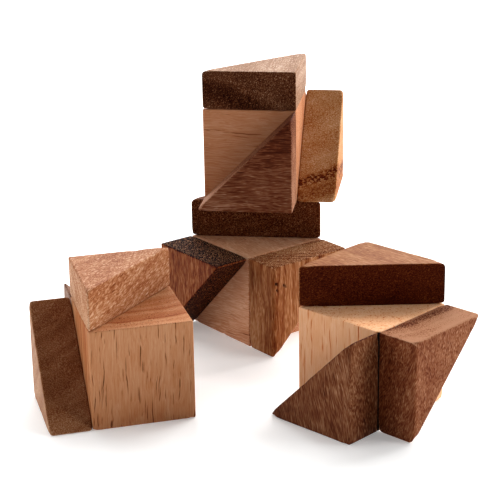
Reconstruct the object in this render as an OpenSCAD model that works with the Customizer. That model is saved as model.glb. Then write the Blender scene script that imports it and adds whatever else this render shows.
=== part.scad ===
// Four loose pieces of a cube puzzle. Each piece is a cube with three triangular slabs glued
// to three faces that share a corner. One piece stands on another, and two lie beside them.

/* [Blocks] */
// Side of the cube at the heart of every piece
cube_side = 35; // [30:1:38]
// Radius of the eased edges of every block
edge_r = 0.5; // [0.3:0.1:1]

/* [Middle piece, centred on the origin] */
// Turn of the middle piece about its upright axis
middle_turn = 37.8; // [30:0.1:45]

/* [Top piece, standing on the middle piece] */
// How far its cube's centre is to the right of the origin
top_x = 0.6; // [-3:0.1:4]
// How far its cube's centre is behind the origin
top_y = 16.8; // [12:0.1:20]
// Turn of the top piece about its upright axis
top_turn = 81.6; // [75:0.1:90]

/* [Left piece, on the table] */
// How far its cube's centre is to the right of the origin
left_x = -42.9; // [-90:0.1:-42]
// How far its cube's centre is behind the origin
left_y = -73.4; // [-120:0.1:-73]
// Turn of the left piece about its upright axis
left_turn = 15.4; // [5:0.1:25]

/* [Right piece, on the table] */
// How far its cube's centre is to the right of the origin
right_x = 38.2; // [38:0.1:90]
// How far its cube's centre is behind the origin
right_y = -73.8; // [-120:0.1:-73]
// Turn of the right piece about its upright axis
right_turn = 46; // [35:0.1:55]

/* [Hidden] */
$fn = 64;

// A slab's thickness makes its long edge equal to the side of the cube plus the thickness.
slab_t = cube_side * (sqrt(2) - 1);
// A slab's leg before its sharp tips are eased. The eased tips just reach the cube's edges.
slab_leg = cube_side + sqrt(2) * edge_r;
// The top piece stands on the upper slab of the middle piece.
top_z = cube_side + slab_t;
// The corners of a square face of the cube, anticlockwise from the piece's own origin.
face = [[0, 0], [cube_side, 0], [cube_side, cube_side], [0, cube_side]];
// How far a plank reaches past the block that it trims
reach = 4 * cube_side;

function unit(v) = v / norm(v);
function corner(points, i) = points[(i + len(points)) % len(points)];
// The directions from corner i to the corners before and after it
function to_last(points, i) = unit(corner(points, i - 1) - points[i]);
function to_next(points, i) = unit(corner(points, i + 1) - points[i]);
// Half of the angle inside corner i
function half_angle(points, i) = acos(to_last(points, i) * to_next(points, i)) / 2;
// The centre of a rounding of radius r at corner i
function round_centre(points, i, r) =
    points[i] + unit(to_last(points, i) + to_next(points, i)) * r / sin(half_angle(points, i));

// A convex outline with each corner rounded to its own radius by a true arc.
module eased_outline(points, radii) {
    polygon([
        for (i = [0 : len(points) - 1], way = [to_last(points, i), to_next(points, i)])
            points[i] + way * radii[i] / tan(half_angle(points, i))
    ]);
    for (i = [0 : len(points) - 1])
        if (radii[i] > 0)
            translate(round_centre(points, i, radii[i]))
                circle(radii[i]);
}

// A long plank inside side i of an outline, with its two edges along that side eased.
module eased_plank(points, i, height) {
    along = to_next(points, i);
    translate([points[i].x, points[i].y, 0])
        rotate([90, 0, atan2(along.y, along.x) + 90])
            translate([0, 0, -reach])
                linear_extrude(2 * reach)
                    eased_outline([[0, 0], [reach, 0], [reach, height], [0, height]], [edge_r, 0, 0, edge_r]);
}

// A straight block of wood on a convex outline, with every edge eased.
module eased_block(points, height) {
    intersection() {
        linear_extrude(height) eased_outline(points, [for (point = points) edge_r]);
        intersection_for (i = [0 : len(points) - 1]) eased_plank(points, i, height);
    }
}

// The cube at the heart of every piece, with a corner at the piece's own origin.
module cube_block() {
    eased_block(face, cube_side);
}

// A slab that covers half of a square face. Its square corner is on corner k of the face.
module slab_block(k) {
    tips = [face[k] + to_last(face, k) * slab_leg, face[k] + to_next(face, k) * slab_leg];
    eased_block([tips[0], face[k], tips[1]], slab_t);
}

// Slabs where they are glued to a piece's cube. Corner k counts round the face that they cover.
module slab_on_top(k) { translate([0, 0, cube_side]) slab_block(k); }
module slab_on_x0(k) { rotate([0, -90, 0]) slab_block(k); }
module slab_on_y0(k) { rotate([90, 0, 0]) slab_block(k); }
module slab_on_y1(k) { translate([0, cube_side, cube_side]) rotate([-90, 0, 0]) slab_block(k); }

// Puts a piece in its place: the centre of its cube's underside goes to a point.
module place(point, turn) {
    translate(point) rotate(turn) translate([-cube_side / 2, -cube_side / 2, 0]) children();
}
module in_middle() { place([0, 0, 0], middle_turn) children(); }
module at_top() { place([top_x, top_y, top_z], top_turn) children(); }
module at_left() { place([left_x, left_y, 0], left_turn) children(); }
module at_right() { place([right_x, right_y, 0], right_turn) children(); }

module middle_cube() { color("burlywood") in_middle() cube_block(); }
module middle_upper_slab() { color("#3a2013") in_middle() slab_on_top(2); }
module middle_left_slab() { color("#5a3424") in_middle() slab_on_x0(2); }
module middle_right_slab() { color("#8a5630") in_middle() slab_on_y0(3); }

module top_cube() { color("#a8774f") at_top() cube_block(); }
module top_upper_slab() { color("#402a1e") at_top() slab_on_top(0); }
module top_front_slab() { color("#5e3626") at_top() slab_on_x0(0); }
module top_side_slab() { color("#8c5a2e") at_top() slab_on_y0(1); }

module left_cube() { color("#b07a52") at_left() cube_block(); }
module left_upper_slab() { color("#a06238") at_left() slab_on_top(3); }
module left_side_slab() { color("#55351f") at_left() slab_on_x0(3); }
module left_back_slab() { color("#7c5546") at_left() slab_on_y1(3); }

module right_cube() { color("#d2a877") at_right() cube_block(); }
module right_upper_slab() { color("#4a2615") at_right() slab_on_top(2); }
module right_left_slab() { color("#5f3b2a") at_right() slab_on_x0(0); }
module right_right_slab() { color("#7a4c30") at_right() slab_on_y0(3); }

middle_cube();
middle_upper_slab();
middle_left_slab();
middle_right_slab();
top_cube();
top_upper_slab();
top_front_slab();
top_side_slab();
left_cube();
left_upper_slab();
left_side_slab();
left_back_slab();
right_cube();
right_upper_slab();
right_left_slab();
right_right_slab();
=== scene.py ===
"""A take-apart cube puzzle in four loose pieces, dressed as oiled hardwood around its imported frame.

Each piece is a cube with three triangular slabs glued to faces that share a corner. Every block is
worked out as a closed surface with eased, slightly worn edges, and is cut from a solid timber whose
rings, fibres, pores and flecks run through it, so that the figure carries round every corner.
"""

import logging
import math
from dataclasses import dataclass, field, replace
from enum import Enum

import bpy
import numpy as np
from mathutils import Matrix, Vector


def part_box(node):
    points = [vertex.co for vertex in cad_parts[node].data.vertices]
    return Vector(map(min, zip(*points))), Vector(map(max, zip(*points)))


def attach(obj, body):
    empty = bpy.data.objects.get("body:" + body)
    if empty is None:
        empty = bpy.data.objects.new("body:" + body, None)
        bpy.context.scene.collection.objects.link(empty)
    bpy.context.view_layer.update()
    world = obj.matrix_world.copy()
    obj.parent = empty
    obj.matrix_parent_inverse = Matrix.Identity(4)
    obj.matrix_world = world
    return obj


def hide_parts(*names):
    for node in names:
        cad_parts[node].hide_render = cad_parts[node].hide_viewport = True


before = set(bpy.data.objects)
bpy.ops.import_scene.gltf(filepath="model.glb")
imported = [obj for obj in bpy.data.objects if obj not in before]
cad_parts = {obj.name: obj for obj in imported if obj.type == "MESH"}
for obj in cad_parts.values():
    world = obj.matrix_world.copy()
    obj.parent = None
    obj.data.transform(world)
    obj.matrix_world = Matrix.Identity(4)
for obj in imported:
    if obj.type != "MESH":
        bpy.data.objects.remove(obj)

# Sizes are in millimetres where they say so and else in metres. SHARP_TIP is the half angle under
# which a corner counts as a tip, SOFT_ENDS is how many times shorter than a side the end of a soft
# edge is, and GATHERING is how strongly the grids are drawn together near the edges.
Colour = tuple[float, float, float, float]
Grid = np.ndarray
LOG = logging.getLogger("puzzle")
MM = 0.001
TIP_SPREAD_MM = 2.5
SHARP_TIP = math.pi / 6
SOFT_ENDS = 14
ARC_STEPS = 9
EDGE_STEPS = 7
DISC_STEPS = 9
GATHERING = 0.88
DRIFT_MM = 5.0
LEAST_TONE = 0.5
RELIEF_MM = 0.12
OIL_IOR = 1.48
TABLE_HALF = 6.0
AIM_HEIGHT = 0.04
SENSOR_MM = 36.0


def shade(code: str) -> Colour:
    """Turns a colour as a painter writes it into the renderer's linear light.

    Args:
        code: the colour as "#rrggbb".

    Returns:
        Red, green, blue and alpha, each from 0 to 1.
    """
    parts = [int(code[i:i + 2], 16) / 255 for i in (1, 3, 5)]
    linear = [p / 12.92 if p <= 0.04045 else ((p + 0.055) / 1.055) ** 2.4 for p in parts]
    return (linear[0], linear[1], linear[2], 1.0)


class Side(Enum):
    """The face of a piece's cube that a block is glued to, or the cube itself."""

    CORE = "core"
    TOP = "top"
    X_LOW = "x_low"
    Y_LOW = "y_low"
    Y_HIGH = "y_high"

    def seat(self, side: float) -> Matrix:
        """The place of a block drawn flat on the ground, moved onto this face of the cube.

        Args:
            side: the side of the cube, in metres.

        Returns:
            The turn and shift from the block's flat drawing to the piece's own axes.
        """
        quarter = math.pi / 2
        moves = {
            Side.CORE: Matrix.Identity(4),
            Side.TOP: Matrix.Translation((0, 0, side)),
            Side.X_LOW: Matrix.Rotation(-quarter, 4, "Y"),
            Side.Y_LOW: Matrix.Rotation(quarter, 4, "X"),
            Side.Y_HIGH: Matrix.Translation((0, side, side)) @ Matrix.Rotation(-quarter, 4, "X"),
        }
        return moves[self]


@dataclass(frozen=True)
class Mark:
    """One kind of small mark in the wood, drawn out along the grain.

    A tone of 1 is the wood's plain colour. A mark raises the tone by a share where it is darker and
    lowers it by one where it is paler.

    Attributes:
        gap_mm: how far apart the marks are across the grain.
        run_mm: how far apart they are along the grain.
        core: where a mark starts to fade, as a share of its cell.
        edge: where it ends.
        kept: the share of cells that have one, from 0 to 1.
        tone: the share by which it raises the tone.
        dark_fill: how far dark dust fills it, from 0 to 1.
    """

    gap_mm: float
    run_mm: float
    core: float
    edge: float
    kept: float
    tone: float
    dark_fill: float = 0.0


@dataclass(frozen=True)
class Band:
    """A darker or paler year or two, which follows the growth rings.

    Attributes:
        depth_mm: how far it lies from the block's middle towards the heart.
        half_mm: half its width.
        tone: what it adds to the tone.
        broken: how far it falls apart into spots, from 0 to 1.
    """

    depth_mm: float
    half_mm: float
    tone: float
    broken: float = 0.0


@dataclass(frozen=True)
class Timber:
    """One kind of oiled wood: how strongly and finely its figure shows.

    Attributes:
        slot: the record's material slot that this wood stands for; it is not used.
        marks: its pores, flecks and vessel lines.
        ring_mm: how far apart the growth rings are.
        ring_tone: how far the rings swing the tone.
        fibre_mm: how wide the fine fibres are.
        fibre_tone: how far the fibres swing the tone.
        cloud_tone: how far broad clouds swing the tone.
        curl_mm: how far the fibres swing from side to side.
        grit_mm: how wide the finest pores are.
        grit_run: how many times longer than wide they are.
        roughness: how matt the oiled surface is.
        sheen: how strongly the oil mirrors its surroundings.
    """

    slot: str
    marks: tuple[Mark, ...]
    ring_mm: float = 3.0
    ring_tone: float = 0.15
    fibre_mm: float = 0.5
    fibre_tone: float = 0.5
    cloud_tone: float = 0.3
    curl_mm: float = 0.3
    grit_mm: float = 0.3
    grit_run: float = 5.0
    roughness: float = 0.5
    sheen: float = 0.1


# The dark colour of dust in pores and seams, which also paints shade inside the pits.
DUST_AND_SHADE = "#150b07"
PORES = Mark(0.8, 9.0, 0.08, 0.28, 0.6, 0.3, 0.15)
SPECKS = Mark(0.6, 2.4, 0.1, 0.5, 0.8, -0.3)
LINES = Mark(1.3, 48.0, 0.06, 0.22, 0.7, 0.5, 0.45)
HAIRS = Mark(0.95, 36.0, 0.06, 0.22, 0.8, 0.4, 0.35)
STREAKS = Mark(0.95, 34.0, 0.1, 0.27, 0.95, 0.4, 0.65)
SLITS = Mark(0.8, 26.0, 0.08, 0.24, 0.9, 0.4, 0.55)
SAP = Mark(1.5, 70.0, 0.08, 0.3, 1.0, 1.0, 0.05)
LACE = Mark(0.85, 2.4, 0.2, 0.55, 0.95, -0.33)
PALE = Timber(
    slot="pale_wood", marks=(LINES, HAIRS),
    ring_mm=4.0, ring_tone=0.08, fibre_tone=0.16, cloud_tone=0.12, grit_run=24.0,
)
DARK = Timber(
    slot="dark_wood", marks=(PORES, SPECKS),
    ring_mm=3.5, ring_tone=0.1, fibre_tone=0.3, cloud_tone=0.3, roughness=0.55, sheen=0.03,
)
RED_BROWN = Timber(
    slot="red_brown_wood", marks=(PORES, replace(SPECKS, tone=-0.18)),
    ring_mm=3.0, ring_tone=0.08, fibre_mm=0.4, fibre_tone=0.4, cloud_tone=0.2, curl_mm=0.15,
    grit_run=14.0, roughness=0.55, sheen=0.04,
)
AMBER = Timber(
    slot="amber_wood", marks=(PORES, SPECKS),
    ring_mm=4.0, ring_tone=0.1, fibre_tone=0.3, cloud_tone=0.25, roughness=0.55, sheen=0.05,
)
BROWN = Timber(
    slot="brown_wood", marks=(replace(PORES, tone=0.15), replace(SPECKS, tone=-0.1)),
    ring_mm=6.0, ring_tone=0.16, fibre_tone=0.08, cloud_tone=0.2, roughness=0.55,
)


@dataclass(frozen=True)
class Cut:
    """How a block was sawn from its board, in its piece's own axes.

    Attributes:
        grain: the way the fibres run.
        heart: the way towards the middle of the tree, across the grain.
        heart_mm: how far off the middle of the tree is.
        bands: years that stand out.
        fade: how the tone rises for each millimetre along the piece's axes.
        end_tone: what a cut straight across the grain adds to the tone, partly as it drinks more oil and
            partly as painted shade; a negative one is painted light.
        grit: how strongly the finest pores show.
        end_grit: the share by which they show more strongly on end grain.
        seed: which part of the board the block comes from.
    """

    grain: tuple[float, float, float]
    heart: tuple[float, float, float]
    heart_mm: float = 60.0
    bands: tuple[Band, ...] = ()
    fade: tuple[float, float, float] = (0.0, 0.0, 0.0)
    end_tone: float = 0.2
    grit: float = 0.3
    end_grit: float = 1.0
    seed: float = 0.0

    def axes(self) -> Matrix:
        """The turn whose third axis is the grain and whose first points at the heart.

        Returns:
            A 3 by 3 turn from the wood's own axes to the piece's axes.
        """
        along = Vector(self.grain).normalized()
        heart = Vector(self.heart)
        inward = (heart - along * heart.dot(along)).normalized()
        return Matrix((inward, along.cross(inward), along)).transposed()


class Bench:
    """A material's node tree, with short ways to add and join nodes."""

    def __init__(self, name: str) -> None:
        """Makes an empty node material.

        Args:
            name: the material's name.
        """
        self.material = bpy.data.materials.new(name)
        self.material.use_nodes = True
        self.tree = self.material.node_tree
        self.tree.nodes.clear()

    def node(self, kind: str, inputs: dict | None = None, **settings: object) -> bpy.types.Node:
        """Adds a node.

        Args:
            kind: the node's type name.
            inputs: values or sockets for its inputs, by name or number.
            settings: the node's own settings.

        Returns:
            The new node.
        """
        made = self.tree.nodes.new(kind)
        for key, value in settings.items():
            setattr(made, key, value)
        for key, value in (inputs or {}).items():
            if isinstance(value, bpy.types.NodeSocket):
                self.tree.links.new(value, made.inputs[key])
            else:
                made.inputs[key].default_value = value
        return made

    def math(self, operation: str, *values: object, clamp: bool = False) -> bpy.types.NodeSocket:
        """One step of arithmetic on numbers or sockets, and its result."""
        inputs = dict(enumerate(values))
        return self.node("ShaderNodeMath", inputs, operation=operation, use_clamp=clamp).outputs[0]

    def vector(self, operation: str, *values: object) -> bpy.types.Node:
        """One step of vector arithmetic."""
        return self.node("ShaderNodeVectorMath", dict(enumerate(values)), operation=operation)

    def ease(self, value: object, low: float, high: float, top: float = 1.0) -> bpy.types.NodeSocket:
        """Rises smoothly from 0 to top while value goes from low to high, which may be the lower."""
        inputs = {"Value": value, "From Min": low, "From Max": high, "To Max": top}
        return self.node("ShaderNodeMapRange", inputs, interpolation_type="SMOOTHSTEP").outputs[0]

    def blend(self, share: object, first: object, second: object) -> bpy.types.NodeSocket:
        """Mixes two colours, with share of the second one."""
        inputs = {0: share, 6: first, 7: second}
        return self.node("ShaderNodeMix", inputs, data_type="RGBA").outputs[2]

    def noise(
        self, where: object, detail: float = 2.0, rough: float = 0.5, size: float = 1.0,
    ) -> bpy.types.Node:
        """Smooth noise at a place."""
        inputs = {"Vector": where, "Scale": size, "Detail": detail, "Roughness": rough}
        return self.node("ShaderNodeTexNoise", inputs)

    def stretched(
        self, where: object, across: float, along: float, shift: float = 0.0,
    ) -> bpy.types.NodeSocket:
        """The place in steps of so many millimetres across and along the grain, moved by a shift."""
        scaled = self.vector("MULTIPLY", where, (1 / across, 1 / across, 1 / along)).outputs[0]
        return self.vector("ADD", scaled, (shift, shift * 0.7, shift * 1.3)).outputs[0]


class Sawn:
    """The finish of one block: a timber, cut one way, as a node material."""

    def __init__(self, block: "Block", middle: Vector, turn: Matrix) -> None:
        """Builds the material.

        Args:
            block: the block.
            middle: the block's middle at rest, in metres.
            turn: the turn from the piece's axes to the puzzle's axes.
        """
        self.timber = block.timber
        self.cut = block.cut
        self.bench = Bench(block.name + "_wood")
        self.grain = (turn @ Vector(self.cut.grain)).normalized()
        straight, wood = self.board(middle, turn)
        self.surface(shade(block.colour), straight, wood)

    def board(self, middle: Vector, turn: Matrix) -> tuple[object, object]:
        """Places the wood's own axes: the grain along Z, the heart along X, in millimetres.

        The straight place p is turned into the wood's axes, and the fibres wander: a slow drift of
        a millimetre or two, plus a quicker curl of curl_mm, both from smooth noise.

        Args:
            middle: the block's middle, in metres.
            turn: the turn from the piece's axes to the puzzle's axes.

        Returns:
            The place in the wood, straight and with the fibres' wander.
        """
        b = self.bench
        place = b.node("ShaderNodeTexCoord").outputs["Object"]
        spin = (turn.to_3x3() @ self.cut.axes()).to_euler("XYZ")
        inputs = {"Vector": place, "Location": middle, "Rotation": spin, "Scale": (MM, MM, MM)}
        straight = b.node("ShaderNodeMapping", inputs, vector_type="TEXTURE").outputs[0]
        seed = self.cut.seed
        drift = b.noise(b.stretched(straight, 14.0, 45.0, seed)).outputs["Color"]
        curl = b.noise(b.stretched(straight, 4.0, 7.0, seed + 3.0)).outputs["Color"]
        reach = self.timber.curl_mm
        drifted = b.vector("MULTIPLY_ADD", drift, (DRIFT_MM,) * 3, straight).outputs[0]
        curled = b.vector("MULTIPLY_ADD", curl, (reach * 4, reach * 4, reach), drifted).outputs[0]
        wandering = b.vector("ADD", curled, (-DRIFT_MM / 2 - reach * 2,) * 3).outputs[0]
        return straight, wandering

    def rings(self, wood: object) -> object:
        """Growth rings: noise that depends on the distance from the heart, and any bands.

        The distance is the length of (X - heart_mm, Y), and the depth towards the heart is
        heart_mm less that distance.

        Args:
            wood: the place in the wood.

        Returns:
            What the rings and bands add to the tone.
        """
        b, t, c = self.bench, self.timber, self.cut
        flat = b.vector("MULTIPLY_ADD", wood, (1.0, 1.0, 0.0), (-c.heart_mm, 0.0, 0.0)).outputs[0]
        depth = b.math("SUBTRACT", c.heart_mm, b.vector("LENGTH", flat).outputs["Value"])
        height = b.node("ShaderNodeSeparateXYZ", {0: wood}).outputs["Z"]
        where = b.node("ShaderNodeCombineXYZ", {
            "X": b.math("DIVIDE", depth, t.ring_mm),
            "Y": b.math("MULTIPLY", height, 0.012),
            "Z": c.seed,
        }).outputs[0]
        growth = b.noise(where, detail=3.0, rough=0.6).outputs["Fac"]
        tone = b.math("MULTIPLY_ADD", b.ease(growth, 0.34, 0.66), 2 * t.ring_tone, -t.ring_tone)
        for band in c.bands:
            away = b.math("ABSOLUTE", b.math("SUBTRACT", depth, band.depth_mm))
            strength = b.ease(away, band.half_mm, band.half_mm * 0.2, band.tone)
            if band.broken > 0:
                spots = b.noise(b.stretched(wood, 0.9, 4.0, c.seed + 29.0)).outputs["Fac"]
                whole = b.math("MULTIPLY_ADD", b.ease(spots, 0.42, 0.58), band.broken, 1 - band.broken)
                strength = b.math("MULTIPLY", strength, whole)
            tone = b.math("ADD", tone, strength)
        return tone

    def mark(self, wood: object, mark: Mark, shift: float) -> object:
        """Marks at the middles of irregular cells that are drawn out along the grain.

        Args:
            wood: the place in the wood.
            mark: the kind of mark.
            shift: a shift that keeps one kind of mark apart from another.

        Returns:
            The marks' strength from 0 to 1.
        """
        b = self.bench
        where = b.stretched(wood, mark.gap_mm, mark.run_mm, self.cut.seed + shift)
        cells = b.node("ShaderNodeTexVoronoi", {"Vector": where, "Scale": 1.0})
        spot = b.ease(cells.outputs["Distance"], mark.edge, mark.core)
        luck = b.node("ShaderNodeSeparateColor", {0: cells.outputs["Color"]}).outputs[0]
        return b.math("MULTIPLY", spot, b.ease(luck, 1.0 - mark.kept, 1.15 - mark.kept))

    def surface(self, colour: Colour, straight: object, wood: object) -> None:
        """Adds up the tone, and closes the material with its colour, roughness and relief.

        As light goes further through oil and wood, each of its colours fades by the same share
        again, so the colour at a tone is the plain colour to the power of the tone.

        Args:
            colour: the wood's plain colour.
            straight: the place in the wood, with straight fibres.
            wood: the place in the wood, with wandering fibres.
        """
        b, t, c = self.bench, self.timber, self.cut
        fibre = b.noise(b.stretched(wood, t.fibre_mm, 16.0, c.seed + 7.0), 4.0, 0.62).outputs["Fac"]
        cloud = b.noise(b.stretched(wood, 9.0, 24.0, c.seed + 11.0), 2.0).outputs["Fac"]
        swing = b.math("MULTIPLY_ADD", fibre, 2 * t.fibre_tone, 1.0 - t.fibre_tone - t.cloud_tone)
        swing = b.math("MULTIPLY_ADD", cloud, 2 * t.cloud_tone, swing)
        tone = b.math("ADD", swing, self.rings(wood))
        fade = Vector(c.fade) @ c.axes()
        tone = b.math("ADD", tone, b.vector("DOT_PRODUCT", straight, fade).outputs["Value"])
        # End faces get end_tone: partly the end grain's own darkening, partly painted shade fitted to each
        # face, and painted light where end_tone is negative.
        ends = self.end_grain()
        tone = b.math("MULTIPLY_ADD", ends, c.end_tone, tone)
        tone = b.math("MULTIPLY", tone, self.grit(wood, ends))
        # The 'wear' attribute brings the pits' painted shade and the seams' darker lines, and the marks add
        # dust in their pores; all blend towards the dark dust colour.
        hollow, dark_fill = 0.0, b.node("ShaderNodeAttribute", attribute_name="wear").outputs["Fac"]
        for number, kind in enumerate(t.marks):
            strength = self.mark(wood, kind, 17.0 + 6.0 * number)
            tone = b.math("MULTIPLY", tone, b.math("MULTIPLY_ADD", strength, kind.tone, 1.0))
            if kind.dark_fill > 0:
                hollow = b.math("MAXIMUM", strength, hollow)
                dark_fill = b.math("MULTIPLY_ADD", strength, kind.dark_fill, dark_fill, clamp=True)
        oil = b.node("ShaderNodeGamma", {"Color": colour, "Gamma": b.math("MAXIMUM", tone, LEAST_TONE)})

        relief = b.math("MULTIPLY_ADD", hollow, -1.0, b.math("MULTIPLY", fibre, 0.5))
        bump = b.node("ShaderNodeBump", {"Height": relief, "Strength": 0.4, "Distance": RELIEF_MM * MM})
        matt = b.math("MULTIPLY_ADD", ends, 0.25, b.math("MULTIPLY_ADD", fibre, 0.2, t.roughness - 0.1))
        matt = b.math("MULTIPLY_ADD", dark_fill, 0.3, matt, clamp=True)
        oiled = b.node("ShaderNodeBsdfPrincipled", {
            "Base Color": b.blend(dark_fill, oil.outputs[0], shade(DUST_AND_SHADE)),
            "Roughness": matt,
            "Normal": bump.outputs[0],
            "IOR": OIL_IOR,
            "Specular IOR Level": t.sheen,
        })
        b.node("ShaderNodeOutputMaterial", {"Surface": oiled.outputs[0]})

    def grit(self, wood: object, ends: object) -> object:
        """The finest pores, as crisp noise drawn out along the grain, which swings the tone.

        Args:
            wood: the place in the wood.
            ends: how squarely the surface cuts across the grain.

        Returns:
            What the tone is multiplied by, about 1.
        """
        b, t, c = self.bench, self.timber, self.cut
        where = b.stretched(wood, t.grit_mm, t.grit_mm * t.grit_run, c.seed + 13.0)
        crisp = b.ease(b.noise(where, 2.0).outputs["Fac"], 0.3, 0.66)
        centred = b.math("MULTIPLY_ADD", crisp, 2 * c.grit, -c.grit)
        return b.math("MULTIPLY_ADD", centred, b.math("MULTIPLY_ADD", ends, c.end_grit, 1.0), 1.0)

    def end_grain(self) -> object:
        """How squarely the surface cuts across the grain, from 0 to 1.

        It is the share of the surface's own direction that lies along the grain, to the power of
        1.5, so that a slanting cut counts in part.

        Returns:
            That share.
        """
        b = self.bench
        facing = b.node("ShaderNodeTexCoord").outputs["Normal"]
        along = b.math("ABSOLUTE", b.vector("DOT_PRODUCT", facing, self.grain).outputs["Value"])
        return b.math("POWER", along, 1.5)


@dataclass(frozen=True)
class Wear:
    """How a block's edges and faces were sanded and knocked about.

    Attributes:
        ease_mm: the mean radius of the eased edges.
        sway: how much that radius varies along an edge, as a share.
        tip_mm: the radius at the ends of a slab's sharp tips, which sanding takes down most.
        soft_side: the side of the outline whose far edge is sanded softer, or -1 for none.
        soft_mm: the radius of that edge.
        ripple_mm: how deep the sander's gentle waves are.
        knocks: how many small knocks the edges have.
        knock_mm: how deep the deepest knock is.
    """

    ease_mm: float = 0.5
    sway: float = 0.3
    tip_mm: float = 1.4
    soft_side: int = -1
    soft_mm: float = 2.0
    ripple_mm: float = 0.03
    knocks: int = 14
    knock_mm: float = 0.3


@dataclass(frozen=True)
class Pit:
    """A small hole in a face, in the block's flat drawing.

    Attributes:
        place: where it is, in millimetres.
        half_mm: half its width.
        deep_mm: how deep it is.
    """

    place: tuple[float, float, float]
    half_mm: float = 0.5
    deep_mm: float = 0.7


@dataclass(frozen=True)
class Seam:
    """A darker line along a block, in the crease where two others nearly meet over it.

    Attributes:
        start: one end, in the block's flat drawing, in millimetres.
        end: the other end.
        half_mm: half its width.
    """

    start: tuple[float, float, float]
    end: tuple[float, float, float]
    half_mm: float = 1.5

    def darkening(self, points: Grid) -> Grid:
        """The darkening at each point, from its distance to the nearest point of the line.

        Args:
            points: places in mm, along the last axis.

        Returns:
            The darkening, from 0 to 1.
        """
        way = np.array(self.end) - np.array(self.start)
        share = np.clip((points - np.array(self.start)) @ way / (way @ way), 0, 1)
        away = np.linalg.norm(points - np.array(self.start) - share[..., None] * way, axis=-1)
        return np.clip(2 - 2 * away / self.half_mm, 0, 1)


@dataclass(frozen=True)
class Rim:
    """A walk round a convex outline with rounded corners, which can be drawn inwards.

    Points, outward, lean and along have a row for each corner, with the steps of its arc and then
    those of the side that follows it.

    Attributes:
        points: the place of each step, in mm.
        outward: the outward direction at each step.
        lean: on an arc, the corner's bisector over the sine of its half angle, and else nothing.
        along: on a side, its direction, and on an arc nothing.
        share: how far along its side each step is, from 0 to 1.
        radius: the radius of every corner, in mm.
        halves: half of the angle inside each corner.
    """

    points: Grid
    outward: Grid
    lean: Grid
    along: Grid
    share: Grid
    radius: float
    halves: Grid

    @staticmethod
    def walked(corners: Grid, radius: float, fineness: int) -> "Rim":
        """Walks round an outline, closer together near the corners.

        A corner of half angle h and radius r is an arc about the point r / sin h along its
        bisector. It turns by 180 degrees less twice h, from the outward direction of one side to
        that of the next. Between two arcs the walk is straight.

        Args:
            corners: the sharp corners, anticlockwise.
            radius: their radius.
            fineness: how many steps there are along one side.

        Returns:
            The walk.
        """
        back, ahead = (np.roll(corners, way, 0) - corners for way in (1, -1))
        back = back / np.linalg.norm(back, axis=1, keepdims=True)
        ahead = ahead / np.linalg.norm(ahead, axis=1, keepdims=True)
        halves = np.arccos(np.sum(back * ahead, 1)) / 2
        bisector = (back + ahead) / (2 * np.cos(halves) * np.sin(halves))[:, None]
        centres = corners + bisector * radius
        start = np.arctan2(back[:, 0], -back[:, 1])
        angles = start[:, None] + (math.pi - 2 * halves)[:, None] * np.linspace(0, 1, ARC_STEPS)
        arc_out = np.stack([np.cos(angles), np.sin(angles)], -1)
        arcs = centres[:, None] + radius * arc_out
        share = gathered(fineness)[1:-1]
        on_side = share[None, :, None]
        sides = arcs[:, -1, None] * (1 - on_side) + np.roll(arcs[:, 0], -1, 0)[:, None] * on_side
        return Rim(
            points=np.concatenate([arcs, sides], 1),
            outward=np.concatenate([arc_out, np.repeat(arc_out[:, -1:], len(share), 1)], 1),
            lean=np.concatenate([np.repeat(bisector[:, None], ARC_STEPS, 1), np.zeros_like(sides)], 1),
            along=np.concatenate([np.zeros_like(arcs), np.repeat(ahead[:, None], len(share), 1)], 1),
            share=np.concatenate([np.zeros(ARC_STEPS), share]),
            radius=radius,
            halves=halves,
        )

    def drawn_in(self, depth: Grid) -> Grid:
        """The outline moved inwards by a depth that may change from step to step.

        A step of a side moves straight in. A step of an arc moves towards the arc's centre, and
        past it along the bisector, so a corner drawn in by more than its radius turns sharp and
        shifts (depth - radius) / tan h along each of its sides, which close up by as much.

        Args:
            depth: how far each step moves, with any number of rows of one number a step.

        Returns:
            The places, as rows by steps by two.
        """
        depth = depth.reshape(-1, *self.points.shape[:2])
        corner = depth[:, :, ARC_STEPS // 2]
        shift = np.maximum(corner - self.radius, 0) / np.tan(self.halves)
        on_arc = np.any(self.lean != 0, -1)
        past = np.where(on_arc, np.maximum(depth - self.radius, 0), 0)
        slide = (1 - self.share) * shift[..., None] - self.share * np.roll(shift, -1, 1)[..., None]
        moved = self.points - self.outward * (depth - past)[..., None]
        moved = moved + self.lean * past[..., None] + self.along * slide[..., None]
        return moved.reshape(len(depth), -1, 2)


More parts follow.
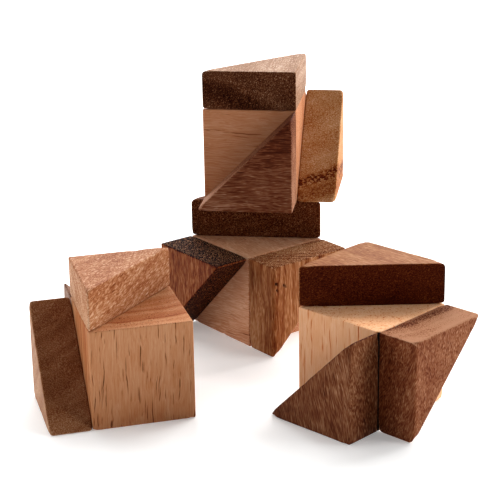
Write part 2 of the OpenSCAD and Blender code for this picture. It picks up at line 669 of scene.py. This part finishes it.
@dataclass(frozen=True)
class Block:
    """One block of wood: a straight prism on a convex outline, with eased edges.

    Attributes:
        name: the CAD node that it stands for.
        side: the face of the cube that it sits on.
        corner: the corner of that face under the slab's square corner, counted round from 0.
        timber: the wood it is made of.
        colour: that wood's plain colour in this block.
        cut: how it was sawn from its board.
        wear: how its edges were sanded.
        pits: small holes in its faces, darkened inside with painted shade.
        seams: darker lines along its creases.
        fineness: how many steps the surface has along one side.
    """

    name: str
    side: Side
    corner: int
    timber: Timber
    colour: str
    cut: Cut
    wear: Wear = Wear()
    pits: tuple[Pit, ...] = ()
    seams: tuple[Seam, ...] = ()
    fineness: int = 44

    def rim(self, side: float) -> Rim:
        """The block's outline: the cube's square face, or half of one for a slab.

        A slab's two tips are cut a little long, so that they reach the cube's edges once rounded.

        Args:
            side: the side of the cube, in mm.

        Returns:
            The walk round the outline.
        """
        square = np.array([[0, 0], [1, 0], [1, 1], [0, 1]], float) * side
        if self.side is Side.CORE:
            return Rim.walked(square, self.wear.ease_mm, self.fineness)
        heel = square[self.corner]
        toes = square[[self.corner - 1, (self.corner + 1) % 4]]
        long_toes = heel + (toes - heel) * (1 + math.sqrt(2) * self.wear.ease_mm / side)
        return Rim.walked(np.array([long_toes[0], heel, long_toes[1]]), self.wear.ease_mm, self.fineness)

    def surface(self, side: float, height: float) -> tuple[Grid, Grid]:
        """The block's skin as a grid: round the outline one way, from pole to pole the other.

        With e the easing radius at that step of the outline, the rows go from the middle of the
        base to its rim, up a quarter circle of radius e, up the side, and back the same way over
        the top. A row is the outline drawn in by the row's inset and scaled about the middle.

        Args:
            side: the side of the cube, in mm.
            height: the block's height, in mm.

        Returns:
            The points, as rows by steps by three, and the darkening at each.
        """
        rim = self.rim(side)
        random = np.random.default_rng(int(1000 * self.cut.seed) + 5)
        near, far = self.easing(rim, random)
        quarter = np.linspace(0, math.pi / 2, EDGE_STEPS)
        rise = gathered(self.fineness)[1:-1]
        disc = 1 - (1 - np.linspace(0, 1, DISC_STEPS + 2)[1:-1]) ** 1.5
        scale = np.concatenate([disc, np.ones(len(rise) + 2 * EDGE_STEPS), disc[::-1]])
        flat, upright = np.zeros_like(disc), np.full_like(rise, math.pi / 2)
        tilt = np.concatenate([flat, quarter, upright, quarter[::-1], flat])
        ends = DISC_STEPS + EDGE_STEPS
        rising = np.concatenate([np.zeros(ends), rise, np.ones(ends)])
        ease = np.where(rising[:, None] < 0.5, near, far)
        lift = ease * (1 - np.cos(tilt))[:, None]
        level = near * (1 - rising)[:, None] + (height - far) * rising[:, None]
        level = level - np.sign(0.5 - rising)[:, None] * (ease - lift) * (np.sin(tilt) < 1)[:, None]
        rims = rim.drawn_in(ease * (1 - np.sin(tilt))[:, None])
        middle = rim.points.reshape(-1, 2).mean(0)
        plan = middle + (rims - middle) * scale[:, None, None]
        points = np.concatenate([plan, level[..., None]], -1)
        lean = np.sign(rising - 0.5) * np.cos(tilt)
        around = rim.outward.reshape(1, -1, 2) * np.sin(tilt)[:, None, None]
        facing = np.concatenate([around, np.broadcast_to(lean[:, None, None], level.shape + (1,))], -1)
        depth, darkening = self.worn(points, tilt, random)
        return points - facing * depth[..., None], darkening

    def easing(self, rim: Rim, random: np.random.Generator) -> tuple[Grid, Grid]:
        """The easing radius round the outline.

        It is the mean radius, times one plus a few slow waves, and it grows towards tip_mm near a
        sharp tip, by a bell curve of the distance from it. Along the soft side, from the corner
        before it to the one after it, the far edge has soft_mm, which dies away to either side.

        Args:
            rim: the outline.
            random: the source of chance.

        Returns:
            One radius for each step, in mm, for the base's edge and for the far one.
        """
        points = rim.points.reshape(-1, 2)
        turn = np.linspace(0, 2 * math.pi, len(points), endpoint=False)
        counts = np.array([2, 3, 5, 9])[:, None]
        waves = np.sin(counts * turn + random.uniform(0, 2 * math.pi, (4, 1))).mean(0)
        ease = self.wear.ease_mm * (1 + self.wear.sway * waves)
        for tip in rim.points[rim.halves < SHARP_TIP, ARC_STEPS // 2]:
            near = np.exp(-np.sum((points - tip) ** 2, -1) / TIP_SPREAD_MM ** 2)
            ease = ease + near * np.maximum(self.wear.tip_mm - ease, 0)
        if self.wear.soft_side < 0:
            return ease, ease
        soft = np.zeros(rim.points.shape[:2])
        soft[self.wear.soft_side] = 1
        soft[self.wear.soft_side - 1] = np.clip(rim.share * SOFT_ENDS - (SOFT_ENDS - 1), 0, 1)
        after = (self.wear.soft_side + 1) % len(soft)
        soft[after] = np.clip(1 - rim.share * SOFT_ENDS, 0, 1)
        soft[self.wear.soft_side - 1, :ARC_STEPS] = 0
        soft = (soft ** 2 * (3 - 2 * soft)).ravel()
        return ease, ease + soft * (self.wear.soft_mm - ease)

    def worn(self, points: Grid, tilt: Grid, random: np.random.Generator) -> tuple[Grid, Grid]:
        """How far each point lies below the true prism, and how far its colour is darkened.

        The depth is a ripple, the mean of three slow waves across the block, plus one bell-shaped
        dent for each knock on an edge and one steep-sided hollow for each pit.

        Args:
            points: the grid's points, in mm.
            tilt: each row's tilt, from 0 on the faces at the ends to a right angle on the sides.
            random: the source of chance.

        Returns:
            The depth in mm, and the darkening from 0 to 1: painted shade in the pits, and the seams' darker
            lines.
        """
        wave = random.normal(0, 0.16, (3, 3))
        phase = random.uniform(0, 2 * math.pi, 3)
        ripple = (1 + np.sin(points @ wave.T + phase)).mean(-1) / 2
        depth = self.wear.ripple_mm * ripple
        edges = points[(tilt > 0.4) & (tilt < 1.2)].reshape(-1, 3)
        spots = edges[random.integers(0, len(edges), self.wear.knocks)]
        widths = random.uniform(0.35, 1.1, len(spots))
        deeps = self.wear.knock_mm * random.uniform(0.2, 1.0, len(spots)) ** 2
        for spot, width, deep in zip(spots, widths, deeps):
            depth = depth + deep * np.exp(-np.sum((points - spot) ** 2, -1) / (2 * width ** 2))
        darkening = np.zeros(points.shape[:2])
        for pit in self.pits:
            away = np.linalg.norm(points - np.array(pit.place), axis=-1) / pit.half_mm
            hollow = np.clip(1.6 - away, 0, 1) ** 2 * (3 - 2 * np.clip(1.6 - away, 0, 1))
            depth = depth + pit.deep_mm * hollow
            # A pit's inside is darkened: painted shade in the hollow, along with the dust it holds.
            darkening = np.maximum(darkening, hollow)
        # Each seam darkens a line along the crease between two slabs.
        for seam in self.seams:
            darkening = np.maximum(darkening, seam.darkening(points))
        return depth, darkening

    def build(self, side: float, height: float, placing: Matrix) -> bpy.types.Object:
        """Makes the block's closed mesh where the frame has its node.

        Args:
            side: the side of the cube, in mm.
            height: the block's height, in mm.
            placing: the piece's place and turn, in metres.

        Returns:
            The block's object, at the origin, with its place in its mesh.
        """
        points, darkening = self.surface(side, height)
        rows, steps = points.shape[:2]
        bottom, top = points[0].mean(0), points[-1].mean(0)
        everything = np.concatenate([points.reshape(-1, 3), [bottom, top]])
        seat = np.array(placing @ self.side.seat(side * MM))
        placed = everything * MM @ seat[:3, :3].T + seat[:3, 3]
        made = skin(self.name + "_block", placed, closed_grid(rows, steps))
        # The 'wear' attribute carries the darkening: painted shade in the pits and the seams' darker lines.
        wear = made.data.attributes.new("wear", "FLOAT", "POINT")
        wear.data.foreach_set("value", np.concatenate([darkening.ravel(), [0, 0]]).astype(np.float32))
        return made


def gathered(steps: int) -> Grid:
    """Shares from 0 to 1 that lie closer together near both ends: t less a part of sin(2 pi t)."""
    t = np.linspace(0, 1, steps + 1)
    return t - GATHERING * np.sin(2 * math.pi * t) / (2 * math.pi)


def closed_grid(rows: int, steps: int) -> Grid:
    """The triangles of a grid that closes on itself round each row and has a pole at each end.

    Point (r, s) has number r * steps + s. The first pole follows the grid, then the last one.

    Args:
        rows: the number of rows.
        steps: the number of points in a row.

    Returns:
        The triangles, three point numbers each, facing outwards.
    """
    r, s = np.meshgrid(np.arange(rows - 1), np.arange(steps), indexing="ij")
    here, aside = r * steps + s, r * steps + (s + 1) % steps
    lower = np.stack([here, aside, aside + steps], -1).reshape(-1, 3)
    upper = np.stack([here, aside + steps, here + steps], -1).reshape(-1, 3)
    round_ = np.arange(steps)
    beside = (round_ + 1) % steps
    first = np.stack([beside, round_, np.full(steps, rows * steps)], -1)
    last_row = (rows - 1) * steps
    last = np.stack([round_ + last_row, beside + last_row, np.full(steps, rows * steps + 1)], -1)
    return np.concatenate([lower, upper, first, last])


def skin(name: str, points: Grid, triangles: Grid) -> bpy.types.Object:
    """Puts points and triangles into a new smooth-shaded mesh object.

    Args:
        name: the object's name.
        points: the points, in metres.
        triangles: three point numbers each.

    Returns:
        The object, linked into the scene.
    """
    mesh = bpy.data.meshes.new(name)
    mesh.vertices.add(len(points))
    mesh.vertices.foreach_set("co", points.astype(np.float32).ravel())
    mesh.loops.add(triangles.size)
    mesh.loops.foreach_set("vertex_index", triangles.astype(np.int32).ravel())
    mesh.polygons.add(len(triangles))
    mesh.polygons.foreach_set("loop_start", np.arange(0, triangles.size, 3, dtype=np.int32))
    mesh.polygons.foreach_set("use_smooth", np.ones(len(triangles), bool))
    mesh.update(calc_edges=True)
    made = bpy.data.objects.new(name, mesh)
    bpy.context.scene.collection.objects.link(made)
    return made


@dataclass
class Piece:
    """One loose piece of the puzzle: a cube and the three slabs glued to it.

    Attributes:
        body: the CAD body that the piece rides on.
        blocks: its blocks, the cube first.
    """

    body: str
    blocks: list[Block] = field(default_factory=list)

    def turn(self) -> float:
        """The piece's turn about its upright axis, from the largest upright face of its cube."""
        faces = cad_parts[self.blocks[0].name].data.polygons
        upright = max((f for f in faces if abs(f.normal.z) < 0.01), key=lambda f: f.area)
        return math.atan2(upright.normal.y, upright.normal.x) % (math.pi / 2)

    def placing(self) -> tuple[Matrix, float]:
        """The piece's place, worked out from its cube's box in the frame.

        Returns:
            The place and turn of the piece's own axes, and the side of its cube, in metres.
        """
        low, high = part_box(self.blocks[0].name)
        side = high.z - low.z
        foot = Vector(((low.x + high.x) / 2, (low.y + high.y) / 2, low.z))
        spin = Matrix.Rotation(self.turn(), 4, "Z")
        return Matrix.Translation(foot) @ spin @ Matrix.Translation((-side / 2, -side / 2, 0)), side

    def make(self) -> None:
        """Builds and dresses every block, puts it on its body and hides its CAD node."""
        placing, side = self.placing()
        thickness = side * (math.sqrt(2) - 1)
        for block in self.blocks:
            low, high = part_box(block.name)
            height = side if block.side is Side.CORE else thickness
            made = block.build(side / MM, height / MM, placing)
            wood = Sawn(block, (low + high) / 2, placing.to_3x3())
            made.data.materials.append(wood.bench.material)
            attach(made, self.body)
            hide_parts(block.name)
            LOG.info("%s: %d triangles on %s", made.name, len(made.data.polygons), self.body)


# Each block's end_tone is fitted to how dark its end faces look, so beyond real end grain it holds painted
# shade, and painted light where it is negative.
MIDDLE = Piece("middle_piece", [
    Block("middle_cube", Side.CORE, 0, PALE, "#b78463",
          Cut((0, 1, -0.12), (1, 0, 0.3), 70, end_tone=0.2, grit=0.18, seed=1.1)),
    Block("middle_upper_slab", Side.TOP, 2, DARK, "#704226",
          Cut((1, 0, 0), (0, 0.3, 1), 50, end_tone=0.56, grit=0.25, seed=2.2)),
    Block("middle_left_slab", Side.X_LOW, 2, RED_BROWN, "#703817",
          Cut((0, 0, 1), (1, -0.6, 0), 40, end_tone=2.03, grit=0.3, end_grit=2.4, seed=3.3)),
    Block("middle_right_slab", Side.Y_LOW, 3,
          replace(RED_BROWN, slot="amber_wood", ring_mm=1.1, ring_tone=0.28, fibre_tone=0.3), "#84512e",
          Cut((0, 0.02, 1), (0.6, 0.8, 0), 30, bands=(Band(-4.5, 0.6, 0.3),),
              end_tone=0.16, grit=0.22, end_grit=1.6, seed=4.4),
          wear=Wear(soft_side=1, soft_mm=1.8),
          pits=(Pit((1.6, 28.5, 14.5)), Pit((1.8, 26, 14.5), 0.35), Pit((5.4, 27, 14.5), 0.45)),
          fineness=120),
])
TOP = Piece("top_piece", [
    Block("top_cube", Side.CORE, 0, PALE, "#ae7450",
          Cut((0, 1, 0.04), (1, 0, 0.2), 60, end_tone=0, grit=0.1, seed=5.5)),
    Block("top_upper_slab", Side.TOP, 0, replace(DARK, marks=(PORES, replace(SPECKS, tone=-0.4))), "#916e56",
          Cut((1, 0, 0), (0, 0.42, -0.9), 50, bands=(Band(5, 5, 0.65),), end_tone=1.1, grit=0.17, seed=6.6)),
    Block("top_front_slab", Side.X_LOW, 0, replace(RED_BROWN, fibre_tone=0.6), "#5f311c",
          Cut((0, 1, 0), (1, 0, 0.4), 60, fade=(0, 0, 0.015), end_tone=-0.22, grit=0.22, seed=7.7)),
    Block("top_side_slab", Side.Y_LOW, 1,
          replace(AMBER, marks=(PORES, replace(SPECKS, tone=-0.25))), "#b27f52",
          Cut((-0.5, -0.7, 0.5), (0.48, 0.73, 0.48), 60,
              bands=(Band(-12, 2.8, 2.2, 0.9), Band(-17.5, 4.5, 0.9, 0.7)), end_tone=0, grit=0.21, seed=8.8)),
])
LEFT = Piece("left_piece", [
    Block("left_cube", Side.CORE, 0, replace(PALE, marks=(STREAKS, SLITS), ring_tone=0.18), "#ac6f47",
          Cut((0.01, 0, 1), (0, 1, 0), 90, bands=(Band(-11.5, 0.7, 0.25), Band(-3, 3, 0.2)),
              end_tone=0.02, grit=0.08, seed=9.9)),
    Block("left_upper_slab", Side.TOP, 3, replace(AMBER, marks=(PORES, LACE), curl_mm=0.6), "#955e3c",
          Cut((0.62, 0.62, 0.27), (0, -0.4, 1), 50, end_tone=-0.38, grit=0.23, seed=10.1)),
    Block("left_side_slab", Side.X_LOW, 3, BROWN, "#9c6e4d",
          Cut((0.2, -0.7, 0.7), (-0.45, 0.63, 0.63), 80, end_tone=0.36, grit=0.15, seed=11.2)),
    Block("left_back_slab", Side.Y_HIGH, 3, BROWN, "#734d38",
          Cut((0, 0, 1), (0, 1, 0), 60, end_tone=0.2, grit=0.25, seed=12.3)),
])
RIGHT = Piece("right_piece", [
    Block("right_cube", Side.CORE, 0,
          replace(PALE, marks=(SAP, replace(SAP, gap_mm=1.1, run_mm=50.0)), fibre_tone=0.1), "#e5af84",
          Cut((0, 0, 1), (0.3, 1, 0), 50, end_tone=0.04, grit=0.1, seed=13.4),
          seams=(Seam((0, 0, 0), (0, 0, 35)),)),
    Block("right_upper_slab", Side.TOP, 2,
          replace(RED_BROWN, slot="dark_wood", cloud_tone=0.3), "#8a5632",
          Cut((0, 1, 0), (0.4, 0, 1), 60, end_tone=1.76, grit=0.2, end_grit=0.2, seed=14.5)),
    Block("right_left_slab", Side.X_LOW, 0, RED_BROWN, "#693c23",
          Cut((0, 0.2, 1), (1, 0.8, 0), 40, bands=(Band(1.0, 1.4, 0.35),),
              end_tone=0.5, grit=0.27, seed=15.6)),
    Block("right_right_slab", Side.Y_LOW, 3, RED_BROWN, "#5e2c15",
          Cut((0.2, -0.3, 1), (0, 1, 0), 60, bands=(Band(8.6, 2.4, 0.6, 0.5),), fade=(0, 0.015, 0),
              end_tone=-0.6, grit=0.21, end_grit=1.8, seed=16.7),
          wear=Wear(soft_side=1, soft_mm=2.0)),
])


@dataclass(frozen=True)
class Softbox:
    """A square studio lamp behind a diffuser.

    Attributes:
        name: the lamp's name.
        place: where it stands, in metres.
        width: the side of its square face, in metres.
        power: its power in watts.
    """

    name: str
    place: tuple[float, float, float]
    width: float
    power: float

    def make(self) -> None:
        """Sets the lamp up, aimed at the puzzle."""
        lamp = bpy.data.lights.new(self.name, "AREA")
        lamp.shape = "SQUARE"
        lamp.size = self.width
        lamp.energy = self.power
        made = bpy.data.objects.new(self.name, lamp)
        made.location = self.place
        aim = Vector((0, 0, AIM_HEIGHT)) - made.location
        made.rotation_euler = aim.to_track_quat("-Z", "Y").to_euler()
        made.visible_camera = False
        bpy.context.scene.collection.objects.link(made)


@dataclass(frozen=True)
class Studio:
    """The camera, the pale table top and the soft light around the puzzle.

    Attributes:
        lens_mm: the focal length on a 36 mm sensor.
        stand_off: how far the camera stands from what it looks at, in metres.
        elevation: how far it looks down, in degrees.
        roll: how far it leans over, in degrees.
        target: the point on the table that it looks at, in metres.
        sky: the strength of the even light from all round.
        glow: the strength of the even light through the table's milky top.
        lamps: the softboxes.
    """

    lens_mm: float = 114.8
    stand_off: float = 0.6978
    elevation: float = 19.11
    roll: float = -0.89
    target: tuple[float, float, float] = (-0.0024, 0.0856, 0.0)
    sky: float = 0.02
    glow: float = 0.25
    lamps: tuple[Softbox, ...] = (
        Softbox("back_softbox", (0.0, 1.6, 1.2), 1.6, 54.6),
        Softbox("back_left_softbox", (-1.2, 1.2, 1.2), 1.2, 19.4),
        Softbox("back_right_softbox", (1.2, 1.2, 1.2), 1.2, 47.3),
        Softbox("left_softbox", (-1.8, -0.2, 0.6), 1.2, 15.6),
        Softbox("right_softbox", (1.8, -0.2, 0.6), 1.2, 29.6),
        Softbox("front_softbox", (-1.2, -1.2, 0.8), 1.0, 1.8),
        Softbox("top_softbox", (0.0, 0.0, 2.0), 1.6, 2.7),
    )

    def camera(self) -> None:
        """Stands the camera on its sight line and makes it the scene's own."""
        slope = math.radians(self.elevation)
        back = Vector((0, -math.cos(slope), math.sin(slope)))
        made = bpy.data.objects.new("camera", bpy.data.cameras.new("camera"))
        made.data.lens = self.lens_mm
        made.data.sensor_width = SENSOR_MM
        made.data.clip_start = 0.01
        made.location = Vector(self.target) + back * self.stand_off
        level = (-back).to_track_quat("-Z", "Y").to_matrix()
        made.rotation_euler = (level @ Matrix.Rotation(math.radians(self.roll), 3, "Z")).to_euler()
        bpy.context.scene.collection.objects.link(made)
        bpy.context.scene.camera = made

    def table(self) -> None:
        """Lays the softly lit milky table top that the puzzle stands on, with the faintest tooth."""
        half = TABLE_HALF
        corners = np.array([[-half, -half, 0], [half, -half, 0], [half, half, 0], [-half, half, 0]])
        top = skin("table_top", corners, np.array([[0, 1, 2], [0, 2, 3]]))
        bench = Bench("milky_top")
        place = bench.node("ShaderNodeTexCoord").outputs["Object"]
        tooth = bench.noise(place, detail=3.0, size=900.0).outputs["Fac"]
        bump = bench.node("ShaderNodeBump", {"Height": tooth, "Strength": 0.1, "Distance": 0.1 * MM})
        card = bench.node("ShaderNodeBsdfPrincipled", {
            "Base Color": shade("#f4f4f3"),
            "Emission Color": shade("#ffffff"),
            "Emission Strength": self.glow,
            "Roughness": bench.math("MULTIPLY_ADD", tooth, 0.1, 0.75),
            "Normal": bump.outputs[0],
            "Specular IOR Level": 0.2,
        })
        bench.node("ShaderNodeOutputMaterial", {"Surface": card.outputs[0]})
        top.data.materials.append(bench.material)

    def light(self) -> None:
        """Fills the studio with even light and sets up the softboxes."""
        world = bpy.data.worlds.new("studio")
        world.use_nodes = True
        backdrop = world.node_tree.nodes["Background"]
        backdrop.inputs["Color"].default_value = (1.0, 1.0, 1.0, 1.0)
        backdrop.inputs["Strength"].default_value = self.sky
        bpy.context.scene.world = world
        for lamp in self.lamps:
            lamp.make()
        bpy.context.scene.view_settings.view_transform = "Standard"

    def make(self) -> None:
        """Builds the whole studio."""
        self.camera()
        self.table()
        self.light()


def corners(box: tuple[Vector, Vector]) -> list[list[float]]:
    """A box's two corners as plain lists of numbers."""
    return [list(box[0]), list(box[1])]


def main() -> None:
    """Builds the studio and then the four pieces."""
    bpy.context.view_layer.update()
    Studio().make()
    for piece in (MIDDLE, TOP, LEFT, RIGHT):
        piece.make()


if __name__ == "__main__":
    logging.basicConfig(level=logging.INFO, format="%(name)s: %(message)s")
    main()
